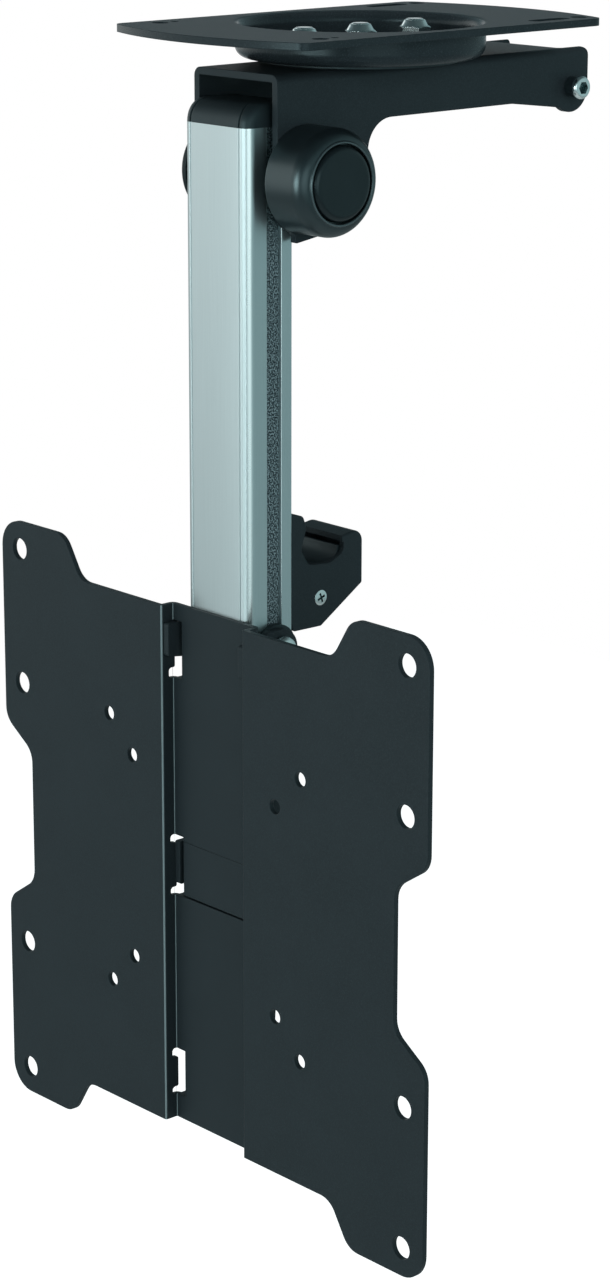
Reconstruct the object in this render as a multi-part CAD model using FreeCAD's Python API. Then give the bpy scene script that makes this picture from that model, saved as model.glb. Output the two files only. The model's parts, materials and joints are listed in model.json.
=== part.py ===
import FreeCAD
import Part

import math
import os

# Folding ceiling mount for a flat screen. All sizes are in millimetres.
# Origin: top face of the ceiling plate, at the centre of its four round holes.
# +Z up to the ceiling, +Y back along the folding bracket, -Y the screen side.

# Ceiling plate and its drawn dish
PLATE_WIDTH = 95.0
PLATE_SIDE = 134.8
PLATE_BOW = 9.7
PLATE_T = 2.5
PLATE_CORNER_R = 5.0
DISH_R = 42.2
DISH_DROP = 11.7
DISH_RIM_R = 3.5
DISH_FLOOR_R = 4.0
CEILING_HOLE_X = 39.5
CEILING_HOLE_R = 2.9
CEILING_HOLE_FRONT = 54.2
CEILING_HOLE_REAR = 64.6
CEILING_SLOT_R = 2.75
CEILING_SLOT_LENGTH = 18.0
CEILING_SLOT_SETBACK = 50.0
PILOT_HOLE_R = 1.4
PILOT_SETBACK = 6.2
SWIVEL_SWEEP = 45.0

# Swivel bolts: one in the centre, two guides in curved slots
GUIDE_R = 25.4
GUIDE_BEARINGS = (90.0, 270.0)
BOLT_R = 3.0
BOLT_HEAD_AF = 10.0
BOLT_HEAD_H = 4.0
NUT_AF = 10.0
NUT_HEX_H = 4.6
NUT_H = 6.6
BOLT_TAIL = 0.4
WASHER_R = 6.4
WASHER_T = 1.6
GLIDE_R = 34.0
GLIDE_T = 1.1

# Folding bracket: an inverted channel with two deep front legs
CHANNEL_WIDTH = 41.2
SHEET = 2.5
CHANNEL_FRONT = 55.6
CHANNEL_REAR = 89.9
CHANNEL_TOP_REAR = 78.4
CHANNEL_BEND_R = 2.6
FLANGE_H = 17.1
LEG_DROP = 55.1
EAR_R = 8.3
EAR_LOBE = 0.5

# Fold hinge
HINGE_SETBACK = 43.5
HINGE_DROP = 34.2
HINGE_R = 4.0
HINGE_BOSS_R = 6.0
HINGE_DISC_R = 10.0
HINGE_NUT_AF = 13.0
HINGE_NUT_H = 8.0
COVER_R = 17.8
COVER_LENGTH = 17.9
COVER_WALL = 1.8
COVER_SHOULDER_R = 5.25
COVER_RING_R = 13.0
COVER_RING_W = 0.9
COVER_RING_H = 0.3
COVER_POCKET = 2.4
COVER_DISC_R = 12.5
COVER_DISC_RISE = 1.1
LOW_CAP_R = 16.2
LOW_CAP_H = 2.9

# Catch bar at the rear ears
CATCH_DROP = 13.3
CATCH_ROLLER_R = 4.0
CATCH_COLLAR_R = 3.5
CATCH_COLLAR_LENGTH = 4.2
CATCH_HEAD_R = 4.0
CATCH_HEAD_H = 1.8
CATCH_SOCKET_AF = 4.0

# Arm: an extruded profile with black strips in its sides
ARM_WIDTH = 32.0
ARM_DEPTH = 20.3
ARM_FRONT_OFFSET = 21.26
ARM_ABOVE_HINGE = 17.3
ARM_BELOW_HINGE = 156.3
ARM_FRONT_R = 3.8
ARM_REAR_R = 1.4
ARM_WALL = 1.9
ARM_LINE_X = 12.05
ARM_LINE_W = 0.8
STRIP_FROM_FRONT = 8.7
STRIP_WIDTH = 6.3
STRIP_GROOVE = 2.6
STRIP_T = 1.3
CAP_HEIGHT = 7.6
CAP_NOSE_R = 7.0
CAP_EDGE_R = 3.6
HINGE_BARREL_R = 10.4
PIN_R = 2.0

# Latch behind the arm, measured from its pivot screw
LATCH_PIVOT_BACK = 15.4
LATCH_PIVOT_RISE = 10.6
LATCH_WIDTH = 24.0
LATCH_SHEET = 2.0
LATCH_PIVOT_R = 2.0
LATCH_HEAD_R = 2.75
LATCH_HEAD_H = 0.3
LATCH_NUT_AF = 7.0
LATCH_NUT_H = 3.2
SADDLE_SCREW_X = 5.0
SADDLE_SCREW_RISE = 23.0
LEVER_TOP = 32.6
SPRING_R = 3.6
SPRING_WIRE_R = 0.45
SPRING_TURNS = 2.5

# Tilt hinge at the foot of the arm
TILT_BACK = 11.16
TILT_BELOW_ARM = 1.5
TILT_R = 3.0
TILT_BARREL_R = 9.0
TILT_DISC_R = 8.4
TILT_EAR_R = 7.3
TILT_HEAD_R = 5.2
TILT_HEAD_H = 3.0
TILT_PLUG_RISE = 26.0
BRACKET_FOOT = 88.5
TILT_BRACKET_TOP = 12.5

# Screen plate: one folded sheet with a hat-shaped middle
SCREEN_FRONT = 28.4
SCREEN_DROP = 84.5
SCREEN_HALF = 110.25
SCREEN_HALF_H = 110.0
SCREEN_SHEET = 1.8
SCREEN_DEPTH = 7.0
SCREEN_RECESS_HALF = 20.8
SCREEN_TOP_NOTCH = 15.0
SCREEN_SIDE_NOTCH = 15.0
SCREEN_CORNER_R = 10.0
SCREEN_NOTCH_R = 8.0
LARGE_HOLE_R = 4.0
SMALL_HOLE_R = 2.6
LARGE_HOLE_X = 100.0
LARGE_HOLE_Z = (100.0, 50.0)
SMALL_HOLES = (50.0, 37.5)
WINDOW_FRONT = 3.2
WINDOW_TAB = 5.9
WINDOW_INNER = 16.2
# Windows: foot, tab foot, tab head and head, from the plate's middle
HIGH_WINDOW = (68.5, 72.2, 83.4, 86.2)
MID_WINDOW = (-10.9, -7.9, 8.4, 11.5)
LOW_WINDOW = (-86.2, -83.4, -72.2, -68.7)
HIGH_LUG = (77.3, 88.9)
MID_LUG = (-6.4, 9.3)
LUG_RELIEF = 2.3
LOCK_PLATE_H = 19.7
LOCK_PLATE_T = 1.75
LOCK_GAP_LOW = 0.7
LOCK_GAP_HIGH = 0.1
RIVET_R = 2.0

# Clearances
RUNNING = 0.05
SLIDING = 0.3
LOOSE = 0.2

# Derived stations
FLOOR_UNDER = -DISH_DROP
FLOOR_TOP = FLOOR_UNDER + PLATE_T
CHANNEL_TOP = FLOOR_UNDER - GLIDE_T
CHANNEL_HALF = CHANNEL_WIDTH / 2
CHANNEL_INNER = CHANNEL_HALF - SHEET
HINGE_Y = -HINGE_SETBACK
HINGE_Z = CHANNEL_TOP - HINGE_DROP
CATCH_Y = CHANNEL_REAR - EAR_R
CATCH_Z = CHANNEL_TOP - CATCH_DROP
ARM_HALF = ARM_WIDTH / 2
ARM_FRONT = HINGE_Y - ARM_FRONT_OFFSET
ARM_REAR = ARM_FRONT + ARM_DEPTH
ARM_TOP = HINGE_Z + ARM_ABOVE_HINGE
ARM_BOTTOM = HINGE_Z - ARM_BELOW_HINGE
STRIP_FRONT = ARM_FRONT + STRIP_FROM_FRONT
STRIP_REAR = STRIP_FRONT + STRIP_WIDTH
ARM_HOLLOW = ARM_HALF - STRIP_GROOVE - 1.5
BARREL_HALF = ARM_HALF
TILT_Y = ARM_FRONT + TILT_BACK
TILT_Z = ARM_BOTTOM - TILT_BELOW_ARM
LATCH_Y = HINGE_Y + LATCH_PIVOT_BACK
LATCH_Z = ARM_BOTTOM + LATCH_PIVOT_RISE
LATCH_HALF = LATCH_WIDTH / 2
SADDLE_HALF = LATCH_HALF - LATCH_SHEET - SLIDING
SCREEN_Y = HINGE_Y - SCREEN_FRONT
SCREEN_Z = TILT_Z - SCREEN_DROP
SCREEN_BACK = SCREEN_Y + SCREEN_DEPTH
LOCK_PLATE_Z = SCREEN_Z - 0.05


def at(plane, u, v, w):
    """Point (u, v) of a sketch plane, w along the plane's normal axis."""
    if plane == "x":
        return FreeCAD.Vector(w, u, v)
    if plane == "y":
        return FreeCAD.Vector(u, w, v)
    return FreeCAD.Vector(u, v, w)


def unit(a, b):
    length = math.hypot(b[0] - a[0], b[1] - a[1])
    return ((b[0] - a[0]) / length, (b[1] - a[1]) / length)


def outline(plane, corners, w):
    """Closed wire through corners (u, v, radius) with tangent round corners."""
    count = len(corners)
    ends = []
    for i in range(count):
        u, v, r = corners[i]
        here = (u, v)
        back = unit(here, corners[i - 1])
        ahead = unit(here, corners[(i + 1) % count])
        dot = max(-1.0, min(1.0, back[0] * ahead[0] + back[1] * ahead[1]))
        half = math.acos(dot) / 2
        if r <= 0 or abs(half - math.pi / 2) < 1e-6:
            ends.append((here, here, None))
            continue
        run = r / math.tan(half)
        a = (u + back[0] * run, v + back[1] * run)
        b = (u + ahead[0] * run, v + ahead[1] * run)
        mid = unit((0, 0), (back[0] + ahead[0], back[1] + ahead[1]))
        reach = r / math.sin(half) - r
        ends.append((a, b, (u + mid[0] * reach, v + mid[1] * reach)))
    edges = []
    for i in range(count):
        a, b, top = ends[i]
        if top is not None:
            arc = Part.Arc(at(plane, *a, w), at(plane, *top, w), at(plane, *b, w))
            edges.append(arc.toShape())
        nxt = ends[(i + 1) % count][0]
        if math.hypot(nxt[0] - b[0], nxt[1] - b[1]) > 1e-6:
            edges.append(Part.makeLine(at(plane, *b, w), at(plane, *nxt, w)))
    return Part.Wire(edges)


def prism(plane, corners, start, end):
    face = Part.Face(outline(plane, corners, start))
    return face.extrude(at(plane, 0, 0, end - start))


def box(x, y, z):
    size = [b - a for a, b in (x, y, z)]
    return Part.makeBox(*size, FreeCAD.Vector(x[0], y[0], z[0]))


def rod(plane, u, v, r, start, end):
    return Part.makeCylinder(r, end - start, at(plane, u, v, start), at(plane, 0, 0, 1))


def ring(plane, u, v, r, bore, start, end):
    return rod(plane, u, v, r, start, end).cut(rod(plane, u, v, bore, start - 1, end + 1))


def turned(plane, u, v, steps):
    """Solid turned about the plane's normal axis from (radius, station, edge radius)."""
    corners = [(s, r, e) if plane == "x" else (r, s, e) for r, s, e in steps]
    face = Part.Face(outline("y" if plane == "z" else "z", corners, 0.0))
    axis = at(plane, 0, 0, 1)
    solid = face.revolve(FreeCAD.Vector(0, 0, 0), axis, 360)
    solid.translate(at(plane, u, v, 0))
    return solid


def six_sided(plane, u, v, flats, start, end, crown):
    """Hexagon bar between two stations, its corners eased at the crown station."""
    reach = flats / math.sqrt(3)
    corners = []
    for i in range(6):
        angle = math.radians(60 * i + 30)
        corners.append((u + reach * math.cos(angle), v + reach * math.sin(angle), 0))
    bar = prism(plane, corners, start, end)
    ease = (reach - flats / 2 * 0.96) * 0.577
    inner = flats / 2 * 0.96
    if crown == end:
        steps = [(0, start, 0), (reach, start, 0), (reach, end - ease, 0), (inner, end, 0), (0, end, 0)]
    else:
        steps = [(0, end, 0), (reach, end, 0), (reach, start + ease, 0), (inner, start, 0), (0, start, 0)]
    return bar.common(turned(plane, u, v, steps))


def lock_nut(plane, u, v, seat, side, flats, hexagon, height, bore):
    """Cone-collared lock nut on the seat station; side is +1 or -1 along the axis."""
    low, high = sorted((seat, seat + side * hexagon))
    crown = high if side > 0 else low
    body = six_sided(plane, u, v, flats, low, high, crown)
    top = seat + side * hexagon
    end = seat + side * height
    r = flats * 0.47
    steps = [(0, seat, 0), (r, seat, 0), (r, top, 0), (flats * 0.35, end, 0.5), (0, end, 0)]
    body = body.fuse(turned(plane, u, v, steps))
    c0, c1 = sorted((seat, end))
    return body.cut(rod(plane, u, v, bore, c0 - 1, c1 + 1)).removeSplitter()


def arc_slot(radius, width, middle, sweep, z0, z1):
    """Curved slot about the swivel axis, with round ends."""
    ring_part = ring("z", 0, 0, radius + width / 2, radius - width / 2, z0, z1)
    far = 3 * radius
    a0 = math.radians(middle - sweep)
    a1 = math.radians(middle + sweep)
    am = math.radians(middle)
    corners = [
        (0, 0, 0),
        (far * math.cos(a0), far * math.sin(a0), 0),
        (far * math.cos(am), far * math.sin(am), 0),
        (far * math.cos(a1), far * math.sin(a1), 0),
    ]
    wedge = prism("z", corners, z0, z1)
    slot = ring_part.common(wedge)
    for a in (a0, a1):
        slot = slot.fuse(rod("z", radius * math.cos(a), radius * math.sin(a), width / 2, z0, z1))
    return slot


def four(x, y, cutter):
    return [cutter(sx * x, sy * y) for sx in (-1, 1) for sy in (-1, 1)]


def ceiling_sheet():
    """Flat plate with straight sides and bowed ends."""
    half = PLATE_WIDTH / 2
    side = PLATE_SIDE / 2
    points = [(half, -side), (half, side), (-half, side), (-half, -side)]
    v = [FreeCAD.Vector(px, py, -PLATE_T) for px, py in points]
    rear = Part.Arc(v[1], FreeCAD.Vector(0, side + PLATE_BOW, -PLATE_T), v[2]).toShape()
    front = Part.Arc(v[3], FreeCAD.Vector(0, -side - PLATE_BOW, -PLATE_T), v[0]).toShape()
    wire = Part.Wire([Part.makeLine(v[0], v[1]), rear, Part.makeLine(v[2], v[3]), front])
    sheet = Part.Face(wire).extrude(FreeCAD.Vector(0, 0, PLATE_T))
    corners = []
    for edge in sheet.Edges:
        spot = edge.CenterOfMass
        upright = abs(edge.BoundBox.ZLength - PLATE_T) < 1e-6 and edge.BoundBox.XLength < 1e-6
        if upright and abs(abs(spot.x) - half) < 1e-6:
            corners.append(edge)
    return sheet.makeFillet(PLATE_CORNER_R, corners)


def drawn_dish():
    """Dish wall and floor, turned as one sheet of even thickness."""
    rim = DISH_R - PLATE_T + DISH_RIM_R
    steps = [
        (0, FLOOR_UNDER, 0),
        (DISH_R, FLOOR_UNDER, DISH_FLOOR_R),
        (DISH_R, -PLATE_T, DISH_RIM_R - PLATE_T),
        (rim, -PLATE_T, 0),
        (rim, 0, 0),
        (DISH_R - PLATE_T, 0, DISH_RIM_R),
        (DISH_R - PLATE_T, FLOOR_TOP, DISH_FLOOR_R - PLATE_T),
        (0, FLOOR_TOP, 0),
    ]
    return turned("z", 0, 0, steps)


def ceiling_plate():
    rim = DISH_R - PLATE_T + DISH_RIM_R
    plate = ceiling_sheet().cut(rod("z", 0, 0, rim, -PLATE_T - 1, 1))
    plate = plate.fuse(drawn_dish())
    cuts = []
    low = CEILING_SLOT_SETBACK - CEILING_SLOT_LENGTH / 2
    high = CEILING_SLOT_SETBACK + CEILING_SLOT_LENGTH / 2
    r = CEILING_SLOT_R
    for x in (-CEILING_HOLE_X, CEILING_HOLE_X):
        for y in (-CEILING_HOLE_FRONT, CEILING_HOLE_REAR):
            cuts.append(rod("z", x, y, CEILING_HOLE_R, -PLATE_T - 1, 1))
        pilot = PILOT_SETBACK - CEILING_HOLE_FRONT
        cuts.append(rod("z", x, pilot, PILOT_HOLE_R, -PLATE_T - 1, 1))
        slot = [(x - r, low, r), (x + r, low, r), (x + r, high, r), (x - r, high, r)]
        cuts.append(prism("z", slot, -PLATE_T - 1, 1))
    cuts.append(rod("z", 0, 0, BOLT_R + RUNNING, FLOOR_UNDER - 1, FLOOR_TOP + 1))
    width = 2 * (BOLT_R + SLIDING)
    for middle in GUIDE_BEARINGS:
        cuts.append(arc_slot(GUIDE_R, width, middle, SWIVEL_SWEEP, FLOOR_UNDER - 1, FLOOR_TOP + 1))
    return plate.cut(cuts).removeSplitter()


def swivel_stations():
    return [(0, GUIDE_R), (0, -GUIDE_R)]


def upright_bolt(x, y):
    """Hexagon bolt up through the channel top, its tail past the lock nut."""
    seat = CHANNEL_TOP - SHEET
    tail = FLOOR_TOP + WASHER_T + NUT_H + BOLT_TAIL
    steps = [(0, seat, 0), (BOLT_R, seat, 0), (BOLT_R, tail, 0.5), (0, tail, 0)]
    head = six_sided("z", x, y, BOLT_HEAD_AF, seat - BOLT_HEAD_H, seat, seat - BOLT_HEAD_H)
    return head.fuse(turned("z", x, y, steps)).removeSplitter()


def upright_washer(x, y):
    return ring("z", x, y, WASHER_R, BOLT_R + LOOSE, FLOOR_TOP, FLOOR_TOP + WASHER_T)


def upright_nut(x, y):
    seat = FLOOR_TOP + WASHER_T
    return lock_nut("z", x, y, seat, 1, NUT_AF, NUT_HEX_H, NUT_H, BOLT_R)


def swivel_glide():
    disc = rod("z", 0, 0, GLIDE_R, CHANNEL_TOP, FLOOR_UNDER)
    cuts = [rod("z", 0, y, BOLT_R + LOOSE, CHANNEL_TOP - 1, FLOOR_UNDER + 1) for y in (0, GUIDE_R, -GUIDE_R)]
    return disc.cut(cuts)


def flange_outline():
    """Side view of the bracket: flange, rear ear and front leg."""
    under = CHANNEL_TOP - FLANGE_H
    foot = CHANNEL_TOP - LEG_DROP
    lobe = CATCH_Z - EAR_R - EAR_LOBE
    y, z = HINGE_Y, HINGE_Z
    return [
        (-CHANNEL_FRONT, CHANNEL_TOP, 0),
        (CHANNEL_REAR, CHANNEL_TOP, 1.5),
        (CHANNEL_REAR, lobe, EAR_R),
        (CATCH_Y - 2.6, lobe, 6.8),
        (CATCH_Y - 5.1, lobe + 1.9, 1.2),
        (CATCH_Y - 29.3, under, 14.0),
        (y + 29.6, under, 10.5),
        (y + 26.4, z - 3.0, 12.0),
        (y + 17.6, z - 15.6, 9.0),
        (y + 9.0, foot + 1.9, 3.0),
        (y - 4.1, foot, 0.6),
        (y - 4.1, z - 18.0, 1.2),
        (-CHANNEL_FRONT, z - 13.2, 9.0),
    ]


def folding_bracket():
    """Folded channel cut to its side outline, with the hinge and bar holes."""
    low = CHANNEL_TOP - LEG_DROP - 5
    outer = [
        (-CHANNEL_HALF, low, 0),
        (-CHANNEL_HALF, CHANNEL_TOP, CHANNEL_BEND_R + 0.4),
        (CHANNEL_HALF, CHANNEL_TOP, CHANNEL_BEND_R + 0.4),
        (CHANNEL_HALF, low, 0),
        (CHANNEL_INNER, low, 0),
        (CHANNEL_INNER, CHANNEL_TOP - SHEET, 0.5),
        (-CHANNEL_INNER, CHANNEL_TOP - SHEET, 0.5),
        (-CHANNEL_INNER, low, 0),
    ]
    channel = prism("y", outer, -CHANNEL_FRONT - 1, CHANNEL_REAR + 1)
    side = prism("x", flange_outline(), -CHANNEL_HALF - 1, CHANNEL_HALF + 1)
    bracket = channel.common(side)
    relief = CHANNEL_INNER - 0.6
    rear = [
        (-relief, CHANNEL_TOP_REAR, 2.0),
        (relief, CHANNEL_TOP_REAR, 2.0),
        (relief, CHANNEL_REAR + 2, 0),
        (-relief, CHANNEL_REAR + 2, 0),
    ]
    top_cut = prism("z", rear, CHANNEL_TOP - SHEET - 3.0, CHANNEL_TOP + 1)
    cuts = [top_cut]
    for y in (0, GUIDE_R, -GUIDE_R):
        cuts.append(rod("z", 0, y, BOLT_R + LOOSE, CHANNEL_TOP - SHEET - 1, CHANNEL_TOP + 1))
    reach = CHANNEL_HALF + 1
    cuts.append(rod("x", HINGE_Y, HINGE_Z, HINGE_R + LOOSE, -reach, reach))
    cuts.append(rod("x", CATCH_Y, CATCH_Z, BOLT_R + LOOSE, -reach, reach))
    return bracket.cut(cuts).removeSplitter()


def hinge_bolt():
    """Low round head on the left, shank through both legs to the right."""
    head = -CHANNEL_HALF - 1.9
    tail = CHANNEL_HALF + WASHER_T + HINGE_NUT_H + 1.5
    steps = [
        (0, head, 0),
        (HINGE_DISC_R, head, 0.8),
        (HINGE_DISC_R, -CHANNEL_HALF, 0),
        (HINGE_R, -CHANNEL_HALF, 0),
        (HINGE_R, tail, 0.8),
        (0, tail, 0),
    ]
    return turned("x", HINGE_Y, HINGE_Z, steps)


def hinge_washer():
    start = CHANNEL_HALF
    return ring("x", HINGE_Y, HINGE_Z, HINGE_DISC_R + 1, HINGE_R + LOOSE, start, start + WASHER_T)


def hinge_nut():
    seat = CHANNEL_HALF + WASHER_T
    hexagon = HINGE_NUT_H * 0.75
    return lock_nut("x", HINGE_Y, HINGE_Z, seat, 1, HINGE_NUT_AF, hexagon, HINGE_NUT_H, HINGE_R)


def hinge_discs():
    """Friction discs between the hinge barrel and the two legs."""
    bore = HINGE_R + RUNNING
    discs = []
    for start, end in ((-CHANNEL_INNER, -BARREL_HALF), (BARREL_HALF, CHANNEL_INNER)):
        discs.append(ring("x", HINGE_Y, HINGE_Z, HINGE_DISC_R, bore, start, end))
    return discs


def hinge_cover():
    """Deep round cover over the nut: a soft shoulder, a bead and a pocket for its disc."""
    base = CHANNEL_HALF
    face = base + COVER_LENGTH
    pocket = face - COVER_POCKET
    bead = COVER_RING_R + COVER_RING_W
    steps = [
        (COVER_R - COVER_WALL, base, 0),
        (COVER_R, base, 0.5),
        (COVER_R, face - 1.36, COVER_SHOULDER_R),
        (bead, face - COVER_RING_H, 0),
        (bead, face, 0.25),
        (COVER_RING_R, face, 0.25),
        (COVER_RING_R, pocket, 0),
        (0, pocket, 0),
        (0, pocket - COVER_WALL, 0),
        (COVER_R - COVER_WALL, pocket - COVER_WALL, 1.5),
    ]
    return turned("x", HINGE_Y, HINGE_Z, steps)


def hinge_cover_disc():
    face = CHANNEL_HALF + COVER_LENGTH
    pocket = face - COVER_POCKET
    crown = face + COVER_DISC_RISE
    steps = [(0, pocket, 0), (COVER_DISC_R, pocket, 0), (COVER_DISC_R, crown, 2.4), (0, crown, 0)]
    return turned("x", HINGE_Y, HINGE_Z, steps)


def hinge_low_cap():
    """Low round cap over the bolt head on the left leg."""
    base = -CHANNEL_HALF
    face = base - LOW_CAP_H
    steps = [
        (LOW_CAP_R - 2.0, base, 0),
        (LOW_CAP_R - 2.0, face + 0.9, 0.3),
        (0, face + 0.9, 0),
        (0, face, 0),
        (LOW_CAP_R, face, 1.6),
        (LOW_CAP_R, base, 0),
    ]
    return turned("x", HINGE_Y, HINGE_Z, steps)


def catch_bolt():
    """Socket-head bolt across the rear ears."""
    seat = CHANNEL_HALF + CATCH_COLLAR_LENGTH
    tail = -CHANNEL_HALF - NUT_H - BOLT_TAIL
    steps = [
        (0, tail, 0),
        (BOLT_R, tail, 0.5),
        (BOLT_R, seat, 0),
        (CATCH_HEAD_R, seat, 0),
        (CATCH_HEAD_R, seat + CATCH_HEAD_H, 1.2),
        (0, seat + CATCH_HEAD_H, 0),
    ]
    bolt = turned("x", CATCH_Y, CATCH_Z, steps)
    end = seat + CATCH_HEAD_H
    reach = CATCH_SOCKET_AF / math.sqrt(3)
    corners = []
    for i in range(6):
        angle = math.radians(60 * i)
        corners.append((CATCH_Y + reach * math.cos(angle), CATCH_Z + reach * math.sin(angle), 0))
    return bolt.cut(prism("x", corners, end - 2.0, end + 1))


def catch_collar():
    start = CHANNEL_HALF
    end = start + CATCH_COLLAR_LENGTH
    return ring("x", CATCH_Y, CATCH_Z, CATCH_COLLAR_R, BOLT_R + LOOSE, start, end)


def catch_roller():
    return ring("x", CATCH_Y, CATCH_Z, CATCH_ROLLER_R, BOLT_R + LOOSE, -CHANNEL_INNER, CHANNEL_INNER)


def catch_nut():
    return lock_nut("x", CATCH_Y, CATCH_Z, -CHANNEL_HALF, -1, NUT_AF, NUT_HEX_H, NUT_H, BOLT_R)


def arm_section(strips):
    """Outer section of the arm, with the side grooves that hold the strips."""
    h = ARM_HALF
    deep = h - STRIP_GROOVE
    right = [(h, ARM_FRONT, ARM_FRONT_R)]
    if strips:
        right += [(h, STRIP_FRONT, 0.25), (deep, STRIP_FRONT, 0)]
        right += [(deep, STRIP_REAR, 0), (h, STRIP_REAR, 0.25)]
    right += [(h, ARM_REAR, ARM_REAR_R)]
    left = [(-x, y, r) for x, y, r in reversed(right)]
    return right + left


def front_lines(z0, z1):
    """Two fine V grooves along the front face."""
    cuts = []
    half = ARM_LINE_W / 2
    for x in (-ARM_LINE_X, ARM_LINE_X):
        front = ARM_FRONT - 0.3
        corners = [(x - half - 0.3, front, 0), (x + half + 0.3, front, 0), (x, ARM_FRONT + half, 0)]
        cuts.append(prism("z", corners, z0, z1))
    return cuts


def arm_profile():
    arm = prism("z", arm_section(True), ARM_BOTTOM, ARM_TOP)
    hollow = [
        (-ARM_HOLLOW, ARM_FRONT + ARM_WALL, 1.5),
        (ARM_HOLLOW, ARM_FRONT + ARM_WALL, 1.5),
        (ARM_HOLLOW, ARM_REAR - ARM_WALL, 1.0),
        (-ARM_HOLLOW, ARM_REAR - ARM_WALL, 1.0),
    ]
    cuts = [prism("z", hollow, ARM_BOTTOM - 1, ARM_TOP + 1)]
    cuts += front_lines(ARM_BOTTOM - 1, ARM_TOP + 1)
    cuts += arm_openings()
    for z in (pin_high(), pin_low()):
        cuts.append(rod("x", pin_y(), z, PIN_R, -ARM_HALF - 1, ARM_HALF + 1))
    for x in (-SADDLE_SCREW_X, SADDLE_SCREW_X):
        cuts.append(rod("y", x, saddle_screw_z(), 2.0, ARM_REAR - ARM_WALL - 1, ARM_REAR + 1))
    return arm.cut(cuts).removeSplitter()


def arm_openings():
    """Rear window for the hinge barrel and a notch round the tilt bolt."""
    window = HINGE_BARREL_R + LOOSE
    reach = ARM_HALF + 1
    head = box((-reach, reach), (STRIP_REAR, ARM_REAR + 1), (HINGE_Z - window, ARM_TOP + 1))
    return [head, rod("x", TILT_Y, TILT_Z, TILT_R + LOOSE, -reach, reach)]


def pin_y():
    return (STRIP_FRONT + STRIP_REAR) / 2


def pin_high():
    return HINGE_Z - HINGE_BARREL_R - 6.0


def pin_low():
    return ARM_BOTTOM + 12.0


def cap_nose(inset):
    """Side view of the cap, drawn in by the inset."""
    front = ARM_FRONT + inset
    rear = ARM_REAR + 5
    top = ARM_TOP + CAP_HEIGHT - inset
    low = ARM_TOP - 5
    if inset == 0:
        return [(front, low, 0), (front, top, CAP_NOSE_R), (ARM_REAR, top, 2.5), (ARM_REAR, low, 0)]
    return [(front, low, 0), (front, top, CAP_NOSE_R - inset), (rear, top, 0), (rear, low, 0)]


def cap_front():
    """Front view of the cap with its two upper corners well rounded."""
    top = ARM_TOP + CAP_HEIGHT
    low = ARM_TOP - 5
    half = ARM_HALF
    return [(-half, low, 0), (-half, top, CAP_EDGE_R), (half, top, CAP_EDGE_R), (half, low, 0)]


def arm_cap():
    """Moulded pillow-shaped cap with a spigot in the arm's hollow."""
    cap = prism("z", arm_section(False), ARM_TOP, ARM_TOP + CAP_HEIGHT)
    cap = cap.common(prism("x", cap_nose(0), -ARM_HALF - 1, ARM_HALF + 1))
    cap = cap.common(prism("y", cap_front(), ARM_FRONT - 1, ARM_REAR + 1))
    half = ARM_LINE_W / 2
    for x in (-ARM_LINE_X, ARM_LINE_X):
        band = prism("x", cap_nose(-2), x - half, x + half)
        cap = cap.cut(band.cut(prism("x", cap_nose(half), x - half - 1, x + half + 1)))
    edge = ARM_HOLLOW - SLIDING
    spigot = [
        (-edge, ARM_FRONT + ARM_WALL + SLIDING, 1.2),
        (edge, ARM_FRONT + ARM_WALL + SLIDING, 1.2),
        (edge, HINGE_Y - HINGE_BARREL_R - 1.0, 0.8),
        (-edge, HINGE_Y - HINGE_BARREL_R - 1.0, 0.8),
    ]
    return cap.fuse(prism("z", spigot, ARM_TOP - 3.0, ARM_TOP)).removeSplitter()


def side_strips():
    """Textured plastic strips in the two side grooves."""
    deep = ARM_HALF - STRIP_GROOVE
    strips = []
    for side in (-1, 1):
        x0, x1 = sorted((side * deep, side * (deep + STRIP_T)))
        strip = box((x0, x1), (STRIP_FRONT, STRIP_REAR), (ARM_BOTTOM, ARM_TOP))
        strips.append(strip.cut(arm_openings()))
    return strips


def plug(z0, z1, front):
    """Block that fills the arm's hollow between two heights."""
    edge = ARM_HOLLOW - LOOSE
    corners = [
        (-edge, ARM_FRONT + ARM_WALL + LOOSE, 1.3),
        (edge, ARM_FRONT + ARM_WALL + LOOSE, 1.3),
        (edge, front, 0.8),
        (-edge, front, 0.8),
    ]
    return prism("z", corners, z0, z1)


def hinge_block():
    """Block in the arm's head that carries the hinge barrel behind it."""
    rear = ARM_REAR - ARM_WALL - LOOSE
    block = plug(HINGE_Z - HINGE_BARREL_R - 12.0, ARM_TOP - 3.5, HINGE_Y - 2.0)
    keep = HINGE_Z - HINGE_BARREL_R
    block = block.cut(box((-20, 20), (rear, HINGE_Y), (HINGE_Z - 60, keep)))
    edge = ARM_HOLLOW - LOOSE
    block = block.fuse(rod("x", HINGE_Y, HINGE_Z, HINGE_BARREL_R, -edge, edge))
    block = block.fuse(rod("x", HINGE_Y, HINGE_Z, HINGE_BOSS_R, -BARREL_HALF, BARREL_HALF))
    cuts = [rod("x", HINGE_Y, HINGE_Z, HINGE_R + RUNNING, -ARM_HALF - 1, ARM_HALF + 1)]
    cuts.append(rod("x", pin_y(), pin_high(), PIN_R, -ARM_HALF - 1, ARM_HALF + 1))
    return block.cut(cuts).removeSplitter()


def arm_pins():
    edge = ARM_HALF - STRIP_GROOVE
    return [rod("x", pin_y(), z, PIN_R, -edge, edge) for z in (pin_high(), pin_low())]


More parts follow.
